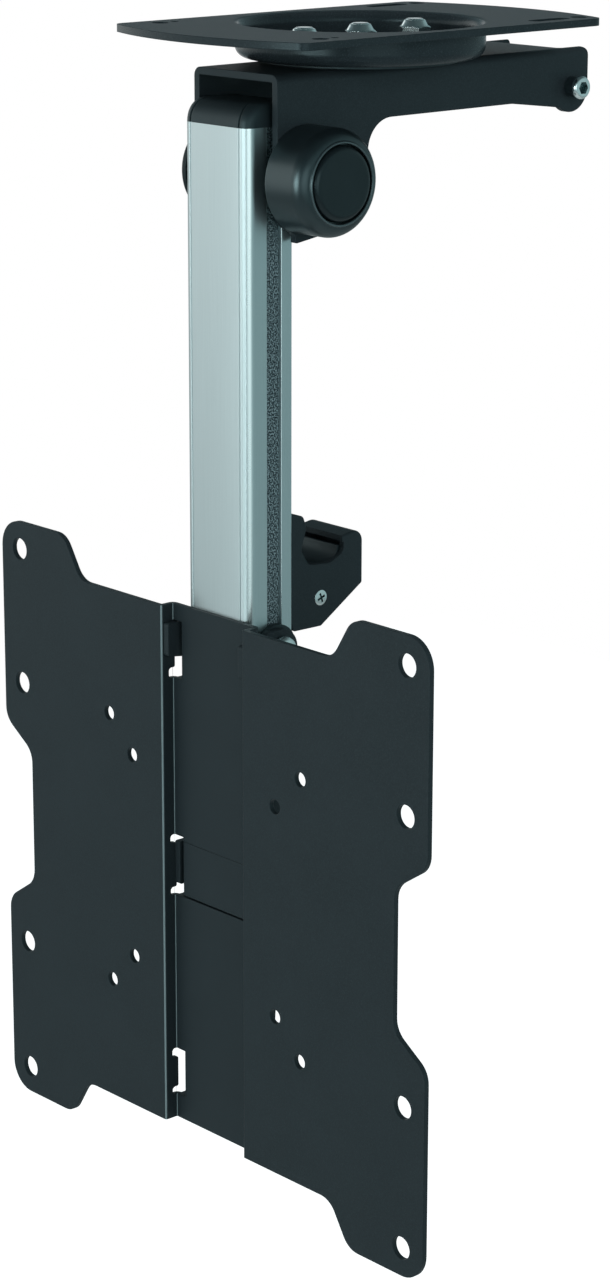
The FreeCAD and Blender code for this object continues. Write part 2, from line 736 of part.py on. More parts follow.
def tilt_block():
    """Block in the arm's foot, ending in the tilt barrel."""
    rear = ARM_REAR - ARM_WALL - LOOSE
    block = plug(TILT_Z, ARM_BOTTOM + TILT_PLUG_RISE, rear)
    block = block.cut(box((-20, 20), (ARM_FRONT - 1, TILT_Y - TILT_BARREL_R), (TILT_Z - 20, ARM_BOTTOM - 0.2)))
    block = block.cut(box((-20, 20), (TILT_Y + TILT_BARREL_R, ARM_REAR + 1), (TILT_Z - 20, ARM_BOTTOM - 0.2)))
    barrel = rod("x", TILT_Y, TILT_Z, TILT_BARREL_R, -BARREL_HALF, BARREL_HALF)
    barrel = barrel.cut(box((-20, 20), (ARM_FRONT, ARM_REAR), (ARM_BOTTOM, TILT_Z + 20)))
    block = block.fuse(barrel)
    cuts = [rod("x", TILT_Y, TILT_Z, TILT_R + RUNNING, -ARM_HALF - 1, ARM_HALF + 1)]
    cuts.append(rod("x", pin_y(), pin_low(), PIN_R, -ARM_HALF - 1, ARM_HALF + 1))
    return block.cut(cuts).removeSplitter()


def saddle_screw_z():
    return LATCH_Z + SADDLE_SCREW_RISE


def latch_saddle():
    """Moulded rest behind the arm with a round valley for the catch bar."""
    y, z = LATCH_Y, LATCH_Z
    corners = [
        (ARM_REAR, z + 28.4, 0),
        (y - 9.6, z + 28.4, 2.5),
        (y - 7.2, z + 17.5, 3.0),
        (y - 2.8, z + 10.6, 7.0),
        (y + 8.6, z + 10.0, 6.0),
        (y + 9.9, z + 16.6, 0.5),
        (y + 11.6, z + 16.0, 0.8),
        (y + 12.4, z + 8.0, 3.0),
        (y + 6.5, z - 6.0, 5.0),
        (ARM_REAR, z - 6.8, 0),
    ]
    saddle = prism("x", corners, -SADDLE_HALF, SADDLE_HALF)
    cuts = [rod("x", y, z, LATCH_PIVOT_R + RUNNING, -LATCH_HALF, LATCH_HALF)]
    room = SPRING_R + SPRING_WIRE_R + SLIDING
    cuts.append(rod("x", y, z, room, SADDLE_HALF - 3.4, SADDLE_HALF + 1))
    for x in (-SADDLE_SCREW_X, SADDLE_SCREW_X):
        cuts.append(rod("y", x, saddle_screw_z(), 2.0, ARM_REAR - 1, y))
        cuts.append(rod("y", x, saddle_screw_z(), 3.6, ARM_REAR + 3.0, y))
    return saddle.cut(cuts).removeSplitter()


def saddle_screws():
    """Cheese-head screws that hold the rest to the arm's rear wall."""
    screws = []
    seat = ARM_REAR + 3.0
    for x in (-SADDLE_SCREW_X, SADDLE_SCREW_X):
        steps = [
            (0, ARM_REAR - ARM_WALL - 3.0, 0),
            (2.0, ARM_REAR - ARM_WALL - 3.0, 0.4),
            (2.0, seat, 0),
            (3.4, seat, 0),
            (3.4, seat + 2.4, 0.4),
            (0, seat + 2.4, 0),
        ]
        screws.append(turned("y", x, saddle_screw_z(), steps))
    return screws


def lever_outline():
    """Side view of the latch lever: front strip, wide notch and hooked horn."""
    y, z = LATCH_Y, LATCH_Z
    front = ARM_REAR + SLIDING
    return [
        (front, z + 3.0, 3.0),
        (front, z + LEVER_TOP, 0.8),
        (y - 8.2, z + 29.9, 2.5),
        (y - 6.7, z + 25.6, 3.0),
        (y - 8.8, z + 19.0, 3.0),
        (y - 8.9, z + 12.4, 6.0),
        (y + 4.5, z + 11.6, 6.0),
        (y + 10.6, z + 14.4, 3.0),
        (y + 10.6, z + 18.15, 0),
        (y + 9.9, z + 18.0, 0),
        (y + 9.9, z + 20.1, 0),
        (y + 19.7, z + 21.6, 4.0),
        (y + 19.7, z + 2.6, 0),
        (y + 0.1, z - 10.0, 1.2),
        (y - 12.6, z - 9.8, 1.0),
    ]


def horn_edges(lever, side):
    """Upper edge of the horn on one cheek."""
    found = []
    for edge in lever.Edges:
        spot = edge.CenterOfMass
        flat = edge.BoundBox.XLength < 1e-6 and edge.BoundBox.ZLength < 2.0
        high = abs(spot.z - LATCH_Z - 20.5) < 0.8 and edge.BoundBox.YLength > 3.0
        if flat and high and abs(spot.x - side * LATCH_HALF) < 1e-6:
            found.append(edge)
    return found


def latch_lever():
    """Folded lever: two cheeks joined by a rear web that curls over as the horn."""
    y, z = LATCH_Y, LATCH_Z
    lever = prism("x", lever_outline(), -LATCH_HALF, LATCH_HALF)
    for side, radius in ((-1, 2.4), (1, 1.0)):
        lever = lever.makeFillet(radius, horn_edges(lever, side))
    t = LATCH_SHEET
    inner_half = LATCH_HALF - t
    pocket = [
        (ARM_REAR - 1, z + LEVER_TOP + 5, 0),
        (y + 9.8, z + LEVER_TOP + 5, 0),
        (y + 9.8, z + 20.1 - t, 0),
        (y + 19.7 - t, z + 21.5 - t, 2.0),
        (y + 19.7 - t, z + 6.0, 0),
        (y + 30.0, z + 6.0, 0),
        (y + 30.0, z - 20.0, 0),
        (ARM_REAR - 1, z - 20.0, 0),
    ]
    lever = lever.cut(prism("x", pocket, -inner_half, inner_half))
    return lever.cut(rod("x", y, z, LATCH_PIVOT_R + RUNNING, -LATCH_HALF - 1, LATCH_HALF + 1)).removeSplitter()


def latch_pivot():
    """Cross-recess screw on which the lever turns."""
    seat = LATCH_HALF
    tail = -LATCH_HALF - LATCH_NUT_H - 0.6
    steps = [
        (0, tail, 0),
        (LATCH_PIVOT_R, tail, 0.3),
        (LATCH_PIVOT_R, seat, 0),
        (LATCH_HEAD_R, seat, 0),
        (LATCH_HEAD_R, seat + LATCH_HEAD_H, 0.2),
        (0, seat + LATCH_HEAD_H, 0),
    ]
    return turned("x", LATCH_Y, LATCH_Z, steps)


def latch_nut():
    return six_and_bore(LATCH_Y, LATCH_Z, LATCH_NUT_AF, -LATCH_HALF - LATCH_NUT_H, -LATCH_HALF, LATCH_PIVOT_R)


def six_and_bore(y, z, flats, start, end, bore):
    nut = six_sided("x", y, z, flats, start, end, start)
    return nut.cut(rod("x", y, z, bore, start - 1, end + 1))


def latch_spring():
    """Torsion coil round the pivot, in the rest's pocket."""
    pitch = 2 * SPRING_WIRE_R + 0.12
    helix = Part.makeHelix(pitch, pitch * SPRING_TURNS, SPRING_R)
    wire = Part.Wire(helix.Edges)
    tangent = FreeCAD.Vector(0, SPRING_R * 2 * math.pi, pitch)
    circle = Part.makeCircle(SPRING_WIRE_R, FreeCAD.Vector(SPRING_R, 0, 0), tangent)
    coil = wire.makePipeShell([Part.Wire([circle])], True, True)
    coil.rotate(FreeCAD.Vector(0, 0, 0), FreeCAD.Vector(0, 1, 0), 90)
    coil.translate(FreeCAD.Vector(SADDLE_HALF - 3.4 + SPRING_WIRE_R + 0.05, LATCH_Y, LATCH_Z))
    return coil


def bracket_side():
    """Side view of the tilt bracket's flanges: two screen lugs and three reliefs."""
    y, z = TILT_Y, TILT_Z
    front = SCREEN_BACK
    relief = front + LUG_RELIEF
    zs = SCREEN_Z
    r = TILT_EAR_R
    foot = SCREEN_Z - BRACKET_FOOT
    return [
        (y + r, z + r, r),
        (y - r, z + r, 4.0),
        (y - r - 1.0, zs + HIGH_LUG[1], 0.6),
        (SCREEN_Y + 0.8, zs + HIGH_LUG[1], 1.0),
        (SCREEN_Y + 0.8, zs + HIGH_LUG[0], 1.0),
        (relief, zs + HIGH_LUG[0] - 1.3, 0.6),
        (relief, zs + HIGH_WINDOW[0], 0.6),
        (front, zs + HIGH_WINDOW[0], 0),
        (front, zs + MID_WINDOW[3], 0),
        (relief, zs + MID_WINDOW[3], 0.6),
        (relief, zs + MID_LUG[1], 0.6),
        (SCREEN_Y + 5.1, zs + MID_LUG[1], 0.8),
        (SCREEN_Y + 5.1, zs + MID_LUG[0], 0.8),
        (relief, zs + MID_LUG[0], 0.6),
        (relief, zs + MID_WINDOW[0], 0.6),
        (front, zs + MID_WINDOW[0], 0),
        (front, zs + LOW_WINDOW[3], 0),
        (relief, zs + LOW_WINDOW[3], 0.6),
        (relief, zs + LOW_WINDOW[0], 0.6),
        (front, zs + LOW_WINDOW[0], 0),
        (front, foot, 1.0),
        (front + 6.0, foot, 3.0),
        (front + 9.0, zs - 34.0, 30.0),
        (y + r - 2.4, zs + 24.0, 20.0),
    ]


def tilt_bracket():
    """Folded bracket behind the screen plate: a web and two flanges with ears."""
    y, z = TILT_Y, TILT_Z
    outer = CHANNEL_HALF
    inner = CHANNEL_INNER
    back = SCREEN_BACK
    foot = SCREEN_Z - BRACKET_FOOT
    flanges = prism("x", bracket_side(), -outer, outer)
    flanges = flanges.cut(box((-inner, inner), (SCREEN_Y - 1, y + 60), (foot - 1, z + 30)))
    bend = [
        (-inner - 0.1, back, 0),
        (inner + 0.1, back, 0),
        (inner + 0.1, back + SHEET, 0),
        (-inner - 0.1, back + SHEET, 0),
    ]
    web = prism("z", bend, foot, z - TILT_BRACKET_TOP)
    bracket = flanges.fuse(web)
    reach = outer + 1
    cuts = [rod("x", y, z, TILT_R + LOOSE, -reach, reach)]
    for dz in (-34.0, 34.0):
        ends = [(-7.0, SCREEN_Z + dz - 14, 7.0), (7.0, SCREEN_Z + dz - 14, 7.0)]
        ends += [(7.0, SCREEN_Z + dz + 14, 7.0), (-7.0, SCREEN_Z + dz + 14, 7.0)]
        cuts.append(prism("y", ends, back - 1, back + SHEET + 1))
    for x in (-11.0, 11.0):
        cuts.append(rod("y", x, LOCK_PLATE_Z, RIVET_R, back - 1, back + SHEET + 1))
    return bracket.cut(cuts).removeSplitter()


def tilt_bolt():
    """Button-head bolt through the two ears."""
    seat = CHANNEL_HALF
    tail = -seat - NUT_H - BOLT_TAIL
    steps = [
        (0, tail, 0),
        (TILT_R, tail, 0.6),
        (TILT_R, seat, 0),
        (TILT_HEAD_R, seat, 0),
        (TILT_HEAD_R, seat + TILT_HEAD_H, 2.4),
        (0, seat + TILT_HEAD_H, 0),
    ]
    return turned("x", TILT_Y, TILT_Z, steps)


def tilt_nut():
    return lock_nut("x", TILT_Y, TILT_Z, -CHANNEL_HALF, -1, NUT_AF, NUT_HEX_H, NUT_H, TILT_R)


def tilt_discs():
    bore = TILT_R + RUNNING
    discs = []
    for start, end in ((-CHANNEL_INNER, -BARREL_HALF), (BARREL_HALF, CHANNEL_INNER)):
        discs.append(ring("x", TILT_Y, TILT_Z, TILT_DISC_R, bore, start, end))
    return discs


def screen_section():
    """Hat section of the screen plate: two wings and a recessed web."""
    t = SCREEN_SHEET
    y = SCREEN_Y
    wall = SCREEN_RECESS_HALF
    far = SCREEN_HALF + 5
    deep = y + SCREEN_DEPTH
    right = [
        (wall + t, deep, t + 0.4),
        (wall + t, y + t, 0.4),
        (far, y + t, 0),
        (far, y, 0),
        (wall, y, 0.9),
        (wall, deep - t, 0.4),
    ]
    left = [(-x, py, r) for x, py, r in reversed(right)]
    return right + left


def screen_outline():
    """Front view: four rounded corner wings round a waisted middle."""
    w, h = SCREEN_HALF, SCREEN_HALF_H
    n = SCREEN_NOTCH_R
    low = h - SCREEN_TOP_NOTCH
    waist = w - SCREEN_SIDE_NOTCH
    quarter = [
        (waist, 24.8, n),
        (w, 34.8, n),
        (w, h, SCREEN_CORNER_R),
        (74.54, h, n),
        (65.2, low, n),
    ]
    upper = quarter + [(-x, z, r) for x, z, r in reversed(quarter)]
    whole = upper + [(-x, -z, r) for x, z, r in upper]
    return [(x, z + SCREEN_Z, r) for x, z, r in whole]


def wall_window(side, heights):
    """Slot round a tab in one wall of the hat section."""
    z0, z1, z2, z3 = [SCREEN_Z + z for z in heights]
    front = SCREEN_Y + WINDOW_FRONT
    tab = SCREEN_Y + WINDOW_TAB
    rear = SCREEN_BACK + 1
    corners = [
        (front, z0, 1.2),
        (rear, z0, 0),
        (rear, z3, 0),
        (front, z3, 1.2),
        (front, z2, 1.2),
        (tab, z2, 0.6),
        (tab, z1, 0.6),
        (front, z1, 1.2),
    ]
    x0, x1 = sorted((side * SCREEN_RECESS_HALF, side * (SCREEN_RECESS_HALF + SCREEN_SHEET + 1)))
    return prism("x", corners, x0, x1)


def web_window(side, z0, z1):
    x0, x1 = sorted((side * WINDOW_INNER, side * SCREEN_RECESS_HALF))
    front = SCREEN_BACK - SCREEN_SHEET - SLIDING
    return box((x0, x1), (front, SCREEN_BACK + 1), (SCREEN_Z + z0, SCREEN_Z + z1))


def screen_plate():
    """Folded plate with standard hole patterns and lug windows."""
    sheet = prism("z", screen_section(), SCREEN_Z - SCREEN_HALF_H - 1, SCREEN_Z + SCREEN_HALF_H + 1)
    plate = sheet.common(prism("y", screen_outline(), SCREEN_Y - 1, SCREEN_BACK + 1))
    cuts = []
    for z in LARGE_HOLE_Z:
        cuts += four(LARGE_HOLE_X, z, screen_hole(LARGE_HOLE_R))
    for half in SMALL_HOLES:
        cuts += four(half, half, screen_hole(SMALL_HOLE_R))
    for side in (-1, 1):
        for heights in (HIGH_WINDOW, MID_WINDOW, LOW_WINDOW):
            cuts.append(wall_window(side, heights))
        cuts.append(web_window(side, HIGH_WINDOW[0], HIGH_LUG[1] + SLIDING))
        cuts.append(web_window(side, MID_WINDOW[0], MID_WINDOW[3]))
        cuts.append(web_window(side, LOW_WINDOW[0], LOW_WINDOW[3]))
    front = SCREEN_BACK - SCREEN_SHEET - SLIDING
    z0 = LOCK_PLATE_Z - LOCK_PLATE_H / 2 - LOCK_GAP_LOW
    z1 = LOCK_PLATE_Z + LOCK_PLATE_H / 2 + LOCK_GAP_HIGH
    cuts.append(box((-WINDOW_INNER, WINDOW_INNER), (front, SCREEN_BACK + 1), (z0, z1)))
    return plate.cut(cuts).removeSplitter()


def screen_hole(radius):
    def cutter(x, z):
        return rod("y", x, SCREEN_Z + z, radius, SCREEN_Y - 1, SCREEN_Y + SCREEN_DEPTH + 1)
    return cutter


def lock_plate():
    """Keeper that fills the slot in the web and stops the plate lifting off."""
    half = WINDOW_INNER
    z0 = LOCK_PLATE_Z - LOCK_PLATE_H / 2
    z1 = LOCK_PLATE_Z + LOCK_PLATE_H / 2
    corners = [(-half, z0, 0.5), (half, z0, 0.5), (half, z1, 0.5), (-half, z1, 0.5)]
    plate = prism("y", corners, SCREEN_BACK - LOCK_PLATE_T, SCREEN_BACK)
    cuts = [rod("y", x, LOCK_PLATE_Z, RIVET_R, SCREEN_BACK - 1.0, SCREEN_BACK + 1) for x in (-11.0, 11.0)]
    return plate.cut(cuts)


def lock_rivets():
    rivets = []
    seat = SCREEN_BACK + SHEET
    for x in (-11.0, 11.0):
        steps = [
            (0, SCREEN_BACK - 1.0, 0),
            (RIVET_R, SCREEN_BACK - 1.0, 0),
            (RIVET_R, seat, 0),
            (RIVET_R * 1.8, seat, 0),
            (RIVET_R * 1.8, seat + 1.5, 1.2),
            (0, seat + 1.5, 0),
        ]
        rivets.append(turned("y", x, LOCK_PLATE_Z, steps))
    return rivets


def nodes():
    return {
        "ceiling_plate": [ceiling_plate()],
        "swivel_bolt": [upright_bolt(0, 0)],
        "swivel_washer": [upright_washer(0, 0)],
        "swivel_nut": [upright_nut(0, 0)],
        "guide_bolts": [upright_bolt(x, y) for x, y in swivel_stations()],
        "guide_washers": [upright_washer(x, y) for x, y in swivel_stations()],
        "guide_nuts": [upright_nut(x, y) for x, y in swivel_stations()],
        "swivel_glide": [swivel_glide()],
        "folding_bracket": [folding_bracket()],
        "hinge_bolt": [hinge_bolt()],
        "hinge_washer": [hinge_washer()],
        "hinge_nut": [hinge_nut()],
        "hinge_discs": hinge_discs(),
        "hinge_cover": [hinge_cover()],
        "hinge_cover_disc": [hinge_cover_disc()],
        "hinge_low_cap": [hinge_low_cap()],
        "catch_bolt": [catch_bolt()],
        "catch_collar": [catch_collar()],
        "catch_roller": [catch_roller()],
        "catch_nut": [catch_nut()],
        "arm_profile": [arm_profile()],
        "arm_cap": [arm_cap()],
        "side_strips": side_strips(),
        "hinge_block": [hinge_block()],
        "arm_pins": arm_pins(),
        "tilt_block": [tilt_block()],
        "latch_saddle": [latch_saddle()],
        "saddle_screws": saddle_screws(),
        "latch_lever": [latch_lever()],
        "latch_pivot": [latch_pivot()],
        "latch_nut": [latch_nut()],
        "latch_spring": [latch_spring()],
        "tilt_bracket": [tilt_bracket()],
        "tilt_bolt": [tilt_bolt()],
        "tilt_nut": [tilt_nut()],
        "tilt_discs": tilt_discs(),
        "screen_plate": [screen_plate()],
        "lock_plate": [lock_plate()],
        "lock_rivets": lock_rivets(),
    }


def solids_of(shapes):
    """Solids moved from the swivel axis to the centre of the ceiling holes."""
    found = []
    shift = (CEILING_HOLE_FRONT - CEILING_HOLE_REAR) / 2
    for shape in shapes:
        for solid in shape.Solids:
            solid.translate(FreeCAD.Vector(0, shift, 0))
            found.append(solid)
    return found


os.makedirs("parts", exist_ok=True)
for name, shapes in nodes().items():
    solids = solids_of(shapes)
    shape = solids[0] if len(solids) == 1 else Part.makeCompound(solids)
    shape.exportStep("parts/" + name + ".step")
    valid = all(s.isValid() for s in solids)
    size = shape.BoundBox
    print(name, len(solids), valid, round(sum(s.Volume for s in solids) / 1000, 2), "cm3",
          [round(v, 1) for v in (size.XMin, size.XMax, size.YMin, size.YMax, size.ZMin, size.ZMax)])
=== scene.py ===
import json
import math

import bmesh
import bpy
from mathutils import Matrix, Vector


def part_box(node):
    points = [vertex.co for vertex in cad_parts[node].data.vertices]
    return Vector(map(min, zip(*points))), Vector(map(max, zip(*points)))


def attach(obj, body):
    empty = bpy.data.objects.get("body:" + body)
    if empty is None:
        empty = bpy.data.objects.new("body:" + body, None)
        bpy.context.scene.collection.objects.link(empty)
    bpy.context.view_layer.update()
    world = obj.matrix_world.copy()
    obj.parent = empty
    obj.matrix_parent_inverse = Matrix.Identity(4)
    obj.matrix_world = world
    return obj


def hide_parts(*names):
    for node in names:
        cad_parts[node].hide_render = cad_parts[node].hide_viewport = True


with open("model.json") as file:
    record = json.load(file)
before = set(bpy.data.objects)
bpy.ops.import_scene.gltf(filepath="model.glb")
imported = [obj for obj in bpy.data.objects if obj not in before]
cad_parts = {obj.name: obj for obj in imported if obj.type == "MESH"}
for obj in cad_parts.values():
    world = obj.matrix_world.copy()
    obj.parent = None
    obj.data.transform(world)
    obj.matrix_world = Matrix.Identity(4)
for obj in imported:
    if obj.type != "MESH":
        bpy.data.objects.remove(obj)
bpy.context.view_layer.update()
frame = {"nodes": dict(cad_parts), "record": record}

# Photograph's frame in pixels, and the camera solved from the screen plate's holes.
PHOTO_SIZE = (610, 1280)
FOCAL_PX = 3214.485
PRINCIPAL_PX = (266.619, 597.965)
CAMERA_AT = Vector((0.79519, -0.75157, 0.09390))
CAMERA_AHEAD = Vector((-0.72281, 0.64005, -0.26053))
CAMERA_RIGHT = Vector((0.66316, 0.74847, -0.00109))
SENSOR_MM = 36.0


def make_camera():
    ahead = CAMERA_AHEAD.normalized()
    right = (CAMERA_RIGHT - ahead * CAMERA_RIGHT.dot(ahead)).normalized()
    up = right.cross(ahead)
    data = bpy.data.cameras.new("camera")
    data.sensor_width = SENSOR_MM
    data.lens = FOCAL_PX / PHOTO_SIZE[1] * SENSOR_MM
    data.shift_x = (PHOTO_SIZE[0] / 2 - PRINCIPAL_PX[0]) / PHOTO_SIZE[1]
    data.shift_y = (PRINCIPAL_PX[1] - PHOTO_SIZE[1] / 2) / PHOTO_SIZE[1]
    data.clip_start = 0.05
    camera = bpy.data.objects.new("camera", data)
    turn = Matrix((right, up, -ahead)).transposed()
    camera.matrix_world = Matrix.Translation(CAMERA_AT) @ turn.to_4x4()
    bpy.context.scene.collection.objects.link(camera)
    bpy.context.scene.camera = camera


# Node helpers


def shader(name):
    mat = bpy.data.materials.new(name)
    mat.use_nodes = True
    tree = mat.node_tree
    return mat, tree, tree.nodes["Principled BSDF"]


def add(tree, kind, inputs=(), **settings):
    node = tree.nodes.new(kind)
    for key, value in settings.items():
        setattr(node, key, value)
    for key, value in dict(inputs).items():
        socket = node.inputs[key]
        if isinstance(value, bpy.types.NodeSocket):
            tree.links.new(value, socket)
        else:
            socket.default_value = value
    return node


def object_coords(tree, stretch=(1, 1, 1)):
    coords = add(tree, "ShaderNodeTexCoord").outputs["Object"]
    return add(tree, "ShaderNodeMapping", {"Vector": coords, "Scale": stretch}).outputs["Vector"]


def noise(tree, vector, scale, detail=3.0, rough=0.6):
    inputs = {"Vector": vector, "Scale": scale, "Detail": detail, "Roughness": rough}
    return add(tree, "ShaderNodeTexNoise", inputs).outputs["Fac"]


def ramp(tree, factor, stops):
    node = add(tree, "ShaderNodeValToRGB", {"Fac": factor})
    points = node.color_ramp.elements
    while len(points) < len(stops):
        points.new(0.5)
    for point, (place, colour) in zip(points, stops):
        point.position = place
        point.color = (*colour, 1.0)
    return node.outputs["Color"]


def levels(tree, factor, low, high, out_low, out_high):
    inputs = {"Value": factor, "From Min": low, "From Max": high, "To Min": out_low, "To Max": out_high}
    return add(tree, "ShaderNodeMapRange", inputs).outputs["Result"]


def bump(tree, height, distance, strength=1.0, normal=None):
    inputs = {"Height": height, "Distance": distance, "Strength": strength}
    if normal is not None:
        inputs["Normal"] = normal
    return add(tree, "ShaderNodeBump", inputs).outputs["Normal"]


def mixed(tree, factor, a, b):
    node = add(tree, "ShaderNodeMix", data_type="RGBA")
    for index, value in ((0, factor), (6, a), (7, b)):
        socket = node.inputs[index]
        if isinstance(value, bpy.types.NodeSocket):
            tree.links.new(value, socket)
        else:
            socket.default_value = value if index == 0 else (*value, 1.0)
    return node.outputs[2]


def dot(tree, vector, fixed):
    node = add(tree, "ShaderNodeVectorMath", {0: vector, 1: fixed}, operation="DOT_PRODUCT")
    return node.outputs["Value"]


def arithmetic(tree, operation, a, b):
    return add(tree, "ShaderNodeMath", {0: a, 1: b}, operation=operation).outputs[0]


def soft_step(tree, value, low, high):
    inputs = {"Value": value, "From Min": low, "From Max": high}
    return add(tree, "ShaderNodeMapRange", inputs, interpolation_type="SMOOTHSTEP").outputs["Result"]


def facing(tree, direction):
    """How far the surface faces a fixed direction of the object, from -1 to 1."""
    return dot(tree, add(tree, "ShaderNodeTexCoord").outputs["Normal"], direction)


def times(tree, a, b):
    return arithmetic(tree, "MULTIPLY", a, b)


def set_shader(tree, bsdf, **values):
    names = {"colour": "Base Color", "rough": "Roughness", "metal": "Metallic", "ior": "IOR",
             "specular": "Specular IOR Level", "tint": "Specular Tint", "normal": "Normal"}
    for key, value in values.items():
        socket = bsdf.inputs[names[key]]
        if isinstance(value, bpy.types.NodeSocket):
            tree.links.new(value, socket)
        elif key in ("colour", "tint"):
            socket.default_value = (*value, 1.0)
        else:
            socket.default_value = value


COOL = (0.72, 0.95, 1.0)
# Painted highlight colour for the bends of the screen plate
PAINTED_BEND_HIGHLIGHT = (0.30, 0.38, 0.40)


def worn_edge(tree, radius):
    """Surface direction eased round sharp edges."""
    return add(tree, "ShaderNodeBevel", {"Radius": radius}, samples=6).outputs["Normal"]


def powder_coat(name, colour, grain=1.0, rough=0.42, drawn=0.0, bend=0.0):
    """Fine textured black paint, smoother where drawn off level, with a painted highlight on bends that
    face right.
    """
    mat, tree, bsdf = shader(name)
    at = object_coords(tree)
    fine = noise(tree, at, 2600.0, 2.0)
    broad = noise(tree, at, 38.0, 4.0)
    pale = tuple(c * 1.35 + 0.001 for c in colour)
    dark = tuple(c * 0.8 for c in colour)
    tone = ramp(tree, fine, [(0.36, dark), (0.55, colour), (0.72, pale)])
    tone = mixed(tree, levels(tree, broad, 0.35, 0.7, 0.0, 0.25), tone, pale)
    gloss = levels(tree, fine, 0.3, 0.7, rough - 0.06, rough + 0.08)
    # Painted highlight: a paler tone on bends turning from the front to the right side
    if bend:
        right = soft_step(tree, facing(tree, (1, 0, 0)), 0.3, 0.45)
        bend_highlight_mask = times(tree, right, soft_step(tree, facing(tree, (0, -1, 0)), 0.35, 0.55))
        tone = mixed(tree, times(tree, bend_highlight_mask, bend), tone, PAINTED_BEND_HIGHLIGHT)
    if drawn:
        level = arithmetic(tree, "ABSOLUTE", facing(tree, (0, 0, 1)), 0.0)
        gloss = arithmetic(tree, "SUBTRACT", gloss, times(tree, soft_step(tree, level, 0.97, 0.85), drawn))
    normal = bump(tree, fine, 0.00006 * grain, 0.5, worn_edge(tree, 0.0005))
    set_shader(tree, bsdf, colour=tone, rough=gloss, specular=0.2, tint=COOL, normal=normal)
    return mat


def moulded_plastic(name, colour, rough=0.36, grain=1.0, ior=1.5):
    mat, tree, bsdf = shader(name)
    at = object_coords(tree)
    fine = noise(tree, at, 1800.0, 3.0)
    broad = noise(tree, at, 60.0, 3.0)
    dark = tuple(c * 0.85 for c in colour)
    pale = tuple(c * 1.25 for c in colour)
    tone = ramp(tree, broad, [(0.3, dark), (0.75, pale)])
    gloss = levels(tree, fine, 0.3, 0.7, rough - 0.04 * grain, rough + 0.08 * grain)
    normal = bump(tree, fine, 0.00004 * grain, 0.4 * grain, worn_edge(tree, 0.0004))
    set_shader(tree, bsdf, colour=tone, rough=gloss, ior=ior, tint=COOL, normal=normal)
    return mat


# Painted highlight and painted shade colours for the aluminium corner bands
PAINTED_HIGHLIGHT_BAND = (0.90, 0.96, 0.96)
PAINTED_SHADE_BAND = (0.36, 0.42, 0.43)


def extruded_aluminium(name):
    """Satin metal with fine lines along its length; at each corner a band of painted shade, then a band of
    painted highlight that is also glossier.
    """
    mat, tree, bsdf = shader(name)
    along = object_coords(tree, (1.0, 1.0, 0.012))
    lines = noise(tree, along, 2400.0, 3.0)
    broad = noise(tree, object_coords(tree), 14.0, 3.0)
    tone = ramp(tree, lines, [(0.3, (0.585, 0.675, 0.690)), (0.7, (0.615, 0.705, 0.720))])
    # Painted light by surface direction: a painted shade band, then a pale painted highlight band round
    # each corner, where the metal is also glossier
    side = arithmetic(tree, "ABSOLUTE", facing(tree, (1, 0, 0)), 0.0)
    corner = times(tree, soft_step(tree, side, 0.50, 0.72), soft_step(tree, side, 0.97, 0.86))
    shade_band_mask = times(tree, soft_step(tree, side, 0.22, 0.30), soft_step(tree, side, 0.60, 0.48))
    tone = mixed(tree, corner, mixed(tree, shade_band_mask, tone, PAINTED_SHADE_BAND), PAINTED_HIGHLIGHT_BAND)
    gloss = levels(tree, broad, 0.35, 0.7, 0.36, 0.44)
    gloss = arithmetic(tree, "SUBTRACT", gloss, times(tree, corner, 0.12))
    grain = noise(tree, object_coords(tree), 2600.0, 2.0)
    normal = bump(tree, grain, 0.00002, 0.3, bump(tree, lines, 0.00001, 0.15))
    set_shader(tree, bsdf, colour=tone, metal=1.0, rough=gloss, normal=normal)
    return mat


# Painted shade colour for recesses in the zinc plating
PAINTED_RECESS_SHADE = (0.10, 0.19, 0.20)
STRIP_TONES = [(0.42, (0.006, 0.009, 0.012)), (0.50, (0.045, 0.066, 0.076)), (0.57, (0.20, 0.27, 0.29))]


def zinc_plate(name, rough=0.2):
    """Bright plating, with painted shade where the metal is recessed."""
    mat, tree, bsdf = shader(name)
    at = object_coords(tree)
    fine = noise(tree, at, 1500.0, 2.0)
    tone = ramp(tree, fine, [(0.3, (0.84, 0.91, 0.91)), (0.7, (0.90, 0.96, 0.96))])
    # Painted shade: recesses found by ambient occlusion are darkened towards a dark teal
    open_share = add(tree, "ShaderNodeAmbientOcclusion", {"Distance": 0.0035}, samples=8).outputs["AO"]
    tone = mixed(tree, levels(tree, open_share, 0.35, 0.85, 0.0, 1.0), PAINTED_RECESS_SHADE, tone)
    gloss = levels(tree, fine, 0.3, 0.7, rough - 0.01, rough + 0.02)
    set_shader(tree, bsdf, colour=tone, metal=1.0, rough=gloss, normal=worn_edge(tree, 0.0002))
    return mat


def leather_grain_strip(name):
    """Black strip with a coarse mottled grain."""
    mat, tree, bsdf = shader(name)
    at = object_coords(tree)
    coarse = noise(tree, at, 1700.0, 2.0)
    tone = ramp(tree, coarse, STRIP_TONES)
    normal = bump(tree, coarse, 0.0002, 0.8)
    set_shader(tree, bsdf, colour=tone, rough=0.5, specular=0.4, tint=COOL, normal=normal)
    return mat


# Pieces made here: outlines of the arm and its cap in millimetres, all else in metres


